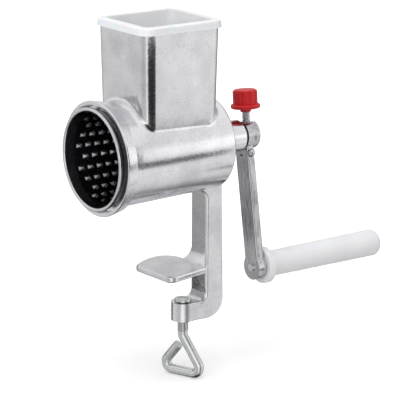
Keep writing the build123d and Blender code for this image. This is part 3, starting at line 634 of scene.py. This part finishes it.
@dataclass
class ClampScrew:
    """The clamp's screw, bent from threaded rod into a loop, with its pressure pad."""

    thread_radius_mm: float = 4.0
    thread_pitch_mm: float = 1.25
    thread_low_mm: float = -47.5
    thread_high_mm: float = -23.9
    spigot_radius_mm: float = 2.5
    spigot_head_radius_mm: float = 3.6
    spigot_top_mm: float = -22.55
    spigot_head_mm: float = 0.8
    spigot_root_mm: float = 1.0
    edge_in_mm: float = 0.3
    edge_down_mm: float = 0.25
    wire_radius_mm: float = 3.55
    wire_roundness: int = 7
    loop_turn: float = math.radians(-69.0)
    bend_mm: float = 5.0
    bend_steps: int = 8
    route_mm: tuple[tuple[float, float], ...] = (
        (0.0, -46.9),
        (0.0, -50.5),
        (18.6, -78.0),
        (-19.6, -78.0),
        (-3.8, -58.2),
    )

    def loop_points(self) -> list[Vector]:
        """Return the wire's centre line with its corners rounded, in metres."""
        corners = [Vector((across, height)) for across, height in self.route_mm]
        points = [corners[0]]
        for before, corner, after in zip(corners, corners[1:], corners[2:]):
            back, ahead = (before - corner).normalized(), (after - corner).normalized()
            half = back.angle(ahead) / 2
            reach = self.bend_mm / math.tan(half)
            centre = corner + (back + ahead).normalized() * self.bend_mm / math.sin(half)
            start, end = corner + back * reach - centre, corner + ahead * reach - centre
            sweep = start.angle_signed(end)
            for step in range(self.bend_steps + 1):
                points.append(centre + Matrix.Rotation(-sweep * step / self.bend_steps, 2) @ start)
        points.append(corners[-1])
        side = Vector((math.cos(self.loop_turn), math.sin(self.loop_turn), 0))
        return [(side * point.x + Vector((0, 0, point.y))) / 1000 for point in points]

    def build_screw(self) -> bpy.types.Object:
        """Build the threaded rod, its peened spigot and the bent wire loop.

        Returns:
            The piece, which stands for the plain packed screw.
        """
        curve = bpy.data.curves.new("wire_route", "CURVE")
        curve.dimensions = "3D"
        curve.bevel_depth = mm(self.wire_radius_mm)
        curve.bevel_resolution = self.wire_roundness
        curve.use_fill_caps = True
        spline = curve.splines.new("POLY")
        route = self.loop_points()
        spline.points.add(len(route) - 1)
        for point, place in zip(spline.points, route):
            point.co = (*place, 1.0)
        guide = bpy.data.objects.new("wire_route", curve)
        wire = bpy.data.meshes.new_from_object(guide)
        bpy.data.objects.remove(guide)
        mesh = bmesh.new()
        mesh.from_mesh(wire)
        bpy.data.meshes.remove(wire)
        threaded(
            mesh, self.thread_radius_mm, self.thread_pitch_mm, self.thread_low_mm, self.thread_high_mm
        )
        root = self.thread_high_mm - self.spigot_root_mm
        head = self.spigot_top_mm - self.spigot_head_mm
        turned(
            mesh,
            (
                (0, root),
                (self.spigot_radius_mm, root),
                (self.spigot_radius_mm, head),
                (self.spigot_head_radius_mm, head),
                (self.spigot_head_radius_mm, self.spigot_top_mm - self.edge_down_mm),
                (self.spigot_head_radius_mm - self.edge_in_mm, self.spigot_top_mm),
                (0, self.spigot_top_mm),
            ),
        )
        merge_and_face_out(mesh)
        piece = finish_piece(mesh, "clamp_screw_and_loop", Finish.ZINC, "clamp_screw", smooth_deg=45.0)
        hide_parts("clamp_screw")
        return piece

    def dress(self) -> None:
        """Give the pad its finish."""
        dress("pressure_pad", Finish.ZINC)


@dataclass
class Pusher:
    """The white lid that pushes the nuts down."""

    def dress(self) -> None:
        """Give the pusher its finish."""
        dress("pusher", Finish.WHITE)


# ------------------------------------------------------------------ studio
@dataclass(frozen=True)
class Studio:
    """The floor, the soft lamps, the room that the metal mirrors, and the camera."""

    floor_reach_m: float = 6.0
    floor_gap_mm: float = 0.05
    fibre_mm: float = 40.0
    light_level: float = 0.62
    camera_target_mm: tuple[float, float, float] = (14.81, 0.0, 48.98)
    camera_distance_mm: float = 1547.0
    camera_azimuth: float = math.radians(-36.38)
    camera_elevation: float = math.radians(15.01)
    camera_roll: float = math.radians(0.36)
    focal_px: float = 2149.0
    image_px: float = 400.0
    sensor_mm: float = 36.0

    def build_floor(self) -> None:
        """Lay the plain pale floor."""
        mesh = bmesh.new()
        bmesh.ops.create_grid(mesh, x_segments=1, y_segments=1, size=self.floor_reach_m)
        bmesh.ops.translate(mesh, vec=mm3(0, 0, FLOOR_MM - self.floor_gap_mm), verts=mesh.verts)
        data = bpy.data.meshes.new("floor")
        mesh.to_mesh(data)
        mesh.free()
        floor = bpy.data.objects.new("floor", data)
        bpy.context.scene.collection.objects.link(floor)
        material, tree = blank_material("white_paper")
        place = add_node(tree, "ShaderNodeTexCoord").outputs["Object"]
        fibre = add_node(
            tree,
            "ShaderNodeTexNoise",
            None,
            {"Vector": place, "Scale": 1 / mm(self.fibre_mm), "Detail": 2.0},
        )
        colour = set_ramp(
            add_node(tree, "ShaderNodeValToRGB", None, {"Fac": fibre.outputs["Fac"]}),
            ((0.3, linear("e0e0e0")), (0.7, linear("e3e3e3"))),
        )
        paper = add_node(tree, "ShaderNodeBsdfDiffuse", None, {"Color": colour})
        # the paper is lifted to white for the camera, more so away from the grinder to even out the far
        # floor; the smaller lift near the grinder is a painted shade around it. The paper keeps its shadow
        away = add_node(tree, "ShaderNodeVectorMath", {"operation": "LENGTH"}, {0: place})
        lift = add_node(
            tree,
            "ShaderNodeMapRange",
            None,
            {
                "Value": away.outputs["Value"],
                "From Min": 0.1,
                "From Max": 0.7,
                "To Min": 0.34,
                "To Max": 0.8,
            },
        )
        path = add_node(tree, "ShaderNodeLightPath")
        seen = add_node(
            tree,
            "ShaderNodeMath",
            {"operation": "MULTIPLY"},
            {0: lift.outputs["Result"], 1: path.outputs["Is Camera Ray"]},
        )
        white = linear("ffffff")
        glow = add_node(tree, "ShaderNodeEmission", None, {"Color": white, "Strength": seen.outputs[0]})
        both = add_node(
            tree, "ShaderNodeAddShader", None, {0: paper.outputs["BSDF"], 1: glow.outputs["Emission"]}
        )
        add_node(tree, "ShaderNodeOutputMaterial", None, {"Surface": both.outputs[0]})
        data.materials.append(material)
        # the room's own gradient stands in for the paper in the metal, which keeps its tones under control
        floor.visible_glossy = False

    def build_flag(
        self, name: str, middle_mm: Sequence[float], width_mm: float, height_mm: float, level: float
    ) -> None:
        """Stand a grey card beside the grinder that only shows in the metal.

        Args:
            name: The card's name.
            middle_mm: The middle of the card.
            width_mm: Its length along X.
            height_mm: Its height.
            level: How bright it is.
        """
        mesh = bmesh.new()
        bmesh.ops.create_grid(mesh, x_segments=1, y_segments=1, size=0.5)
        bmesh.ops.scale(mesh, vec=(mm(width_mm), mm(height_mm), 1), verts=mesh.verts)
        bmesh.ops.rotate(mesh, matrix=Matrix.Rotation(HALF_TURN / 2, 3, "X"), verts=mesh.verts)
        bmesh.ops.translate(mesh, vec=mm3(*middle_mm), verts=mesh.verts)
        data = bpy.data.meshes.new(name)
        mesh.to_mesh(data)
        mesh.free()
        card = bpy.data.objects.new(name, data)
        bpy.context.scene.collection.objects.link(card)
        material, tree = blank_material(name)
        grey = (level, level, level, 1.0)
        shader = add_node(tree, "ShaderNodeEmission", None, {"Color": grey, "Strength": 1.0})
        add_node(tree, "ShaderNodeOutputMaterial", None, {"Surface": shader.outputs["Emission"]})
        data.materials.append(material)
        for ray in ("camera", "diffuse", "transmission", "volume_scatter", "shadow"):
            setattr(card, f"visible_{ray}", False)

    def build_room(self) -> None:
        """Light the room evenly, and give the metal a room of graded greys to mirror."""
        world = bpy.data.worlds.new("studio_room")
        bpy.context.scene.world = world
        world.use_nodes = True
        tree = world.node_tree
        tree.nodes.clear()
        way = add_node(tree, "ShaderNodeTexCoord").outputs["Generated"]
        axes = add_node(tree, "ShaderNodeSeparateXYZ", None, {"Vector": way})
        height = add_node(
            tree, "ShaderNodeMapRange", None, {"Value": axes.outputs["Z"], "From Min": -1.0, "From Max": 1.0}
        )
        layers = set_ramp(
            add_node(tree, "ShaderNodeValToRGB", None, {"Fac": height.outputs["Result"]}),
            (
                (0.0, 0.05),
                (0.05, 0.12),
                (0.1, 0.8),
                (0.3, 1.0),
                (0.44, 0.92),
                (0.49, 1.35),
                (0.6, 1.4),
                (0.66, 1.0),
                (0.85, 0.95),
                (1.0, 1.0),
            ),
        )
        # share of a turn about Z: 0 towards the camera, 0.5 behind the grinder
        facing = math.atan2(-math.cos(self.camera_azimuth), math.sin(self.camera_azimuth))
        angle = add_node(
            tree, "ShaderNodeMath", {"operation": "ARCTAN2"}, {0: axes.outputs["Y"], 1: axes.outputs["X"]}
        )
        turn = add_node(
            tree, "ShaderNodeMath", {"operation": "SUBTRACT"}, {0: angle.outputs[0], 1: facing}
        )
        share = add_node(
            tree, "ShaderNodeMath", {"operation": "MULTIPLY"}, {0: turn.outputs[0], 1: 0.5 / HALF_TURN}
        )
        wrap = add_node(tree, "ShaderNodeMath", {"operation": "FRACT"}, {0: share.outputs[0]})
        sides = set_ramp(
            add_node(tree, "ShaderNodeValToRGB", None, {"Fac": wrap.outputs[0]}),
            (
                (0.0, 1.15),
                (0.04, 1.0),
                (0.09, 0.25),
                (0.15, 0.4),
                (0.195, 0.94),
                (0.3, 0.92),
                (0.38, 0.3),
                (0.42, 0.3),
                (0.48, 0.58),
                (0.6, 0.5),
                (0.7, 0.74),
                (0.8, 0.72),
                (0.88, 0.55),
                (0.93, 0.6),
                (0.97, 1.1),
                (1.0, 1.15),
            ),
        )
        low = add_node(
            tree,
            "ShaderNodeMapRange",
            None,
            {"Value": axes.outputs["Z"], "From Min": 0.35, "From Max": 0.75, "To Min": 1.0, "To Max": 0.0},
        )
        both = add_node(
            tree,
            "ShaderNodeMix",
            {"data_type": "RGBA", "blend_type": "MULTIPLY"},
            {0: low.outputs["Result"], 6: layers, 7: sides},
        )
        mirrored = add_node(tree, "ShaderNodeBackground", None, {"Color": both.outputs[2], "Strength": 1.0})
        white = linear("ffffff")
        light = add_node(tree, "ShaderNodeBackground", None, {"Color": white, "Strength": self.light_level})
        backdrop = add_node(tree, "ShaderNodeBackground", None, {"Color": white, "Strength": 1.0})
        path = add_node(tree, "ShaderNodeLightPath")
        lit = add_node(
            tree,
            "ShaderNodeMixShader",
            None,
            {0: path.outputs["Is Glossy Ray"], 1: light.outputs[0], 2: mirrored.outputs[0]},
        )
        seen = add_node(
            tree,
            "ShaderNodeMixShader",
            None,
            {0: path.outputs["Is Camera Ray"], 1: lit.outputs[0], 2: backdrop.outputs[0]},
        )
        add_node(tree, "ShaderNodeOutputWorld", None, {"Surface": seen.outputs[0]})

    def add_lamp(self, name: str, place_mm: Sequence[float], size_mm: float, power: float) -> None:
        """Hang one square soft lamp that points at the grinder.

        Args:
            name: The lamp's name.
            place_mm: Where it hangs.
            size_mm: The length of its sides.
            power: Its power in watts.
        """
        data = bpy.data.lights.new(name, "AREA")
        data.size = mm(size_mm)
        data.energy = power
        lamp = bpy.data.objects.new(name, data)
        bpy.context.scene.collection.objects.link(lamp)
        lamp.location = mm3(*place_mm)
        aim = mm3(*self.camera_target_mm) - lamp.location
        lamp.rotation_euler = aim.to_track_quat("-Z", "Y").to_euler()
        lamp.visible_glossy = False

    def build_camera(self) -> None:
        """Stand the camera where the photograph was taken from."""
        data = bpy.data.cameras.new("camera")
        data.sensor_width = self.sensor_mm
        data.lens = self.focal_px * self.sensor_mm / self.image_px
        data.clip_end = 100.0
        camera = bpy.data.objects.new("camera", data)
        bpy.context.scene.collection.objects.link(camera)
        sin_a, cos_a = math.sin(self.camera_azimuth), math.cos(self.camera_azimuth)
        sin_e, cos_e = math.sin(self.camera_elevation), math.cos(self.camera_elevation)
        ahead = Vector((-sin_a * cos_e, cos_a * cos_e, -sin_e))
        right = Vector((cos_a, sin_a, 0))
        up = right.cross(ahead)
        turned_right = right * math.cos(self.camera_roll) + up * math.sin(self.camera_roll)
        turned_up = up * math.cos(self.camera_roll) - right * math.sin(self.camera_roll)
        pose = Matrix((turned_right, turned_up, -ahead)).transposed().to_4x4()
        pose.translation = mm3(*self.camera_target_mm) - ahead * mm(self.camera_distance_mm)
        camera.matrix_world = pose
        bpy.context.scene.camera = camera

    def build(self) -> None:
        """Set up the whole studio."""
        self.build_camera()
        self.build_floor()
        self.build_room()
        self.build_flag("table_flag", (65.0, -156.0, 53.0), 100.0, 34.0, 0.12)
        self.build_flag("jaw_flag", (131.0, -108.0, -42.0), 44.0, 28.0, 0.1)
        self.build_flag("post_flag", (-42.0, 90.0, 8.0), 105.0, 85.0, 0.36)
        self.build_flag("heel_flag", (-47.0, 89.0, -56.0), 32.0, 46.0, 0.03)
        self.build_flag("corner_flag", (-62.0, -118.0, 115.0), 122.0, 80.0, 0.03)
        self.add_lamp("ceiling_softbox", (-250.0, -250.0, 1300.0), 1100.0, 10.0)
        self.add_lamp("left_softbox", (-1100.0, -500.0, 500.0), 700.0, 4.0)


def main() -> None:
    """Build the studio and the grinder."""
    logging.basicConfig(level=logging.INFO, format="%(name)s: %(message)s")
    bpy.context.scene.view_settings.view_transform = "Standard"
    Studio().build()
    casting = BodyCasting()
    casting.dress()
    drum = GratingDrum()
    drum.dress()
    drum.build_teeth()
    crank = Crank()
    crank.dress()
    crank.build_screw()
    clamp = ClampScrew()
    clamp.dress()
    clamp.build_screw()
    Pusher().dress()


if __name__ == "__main__":
    main()
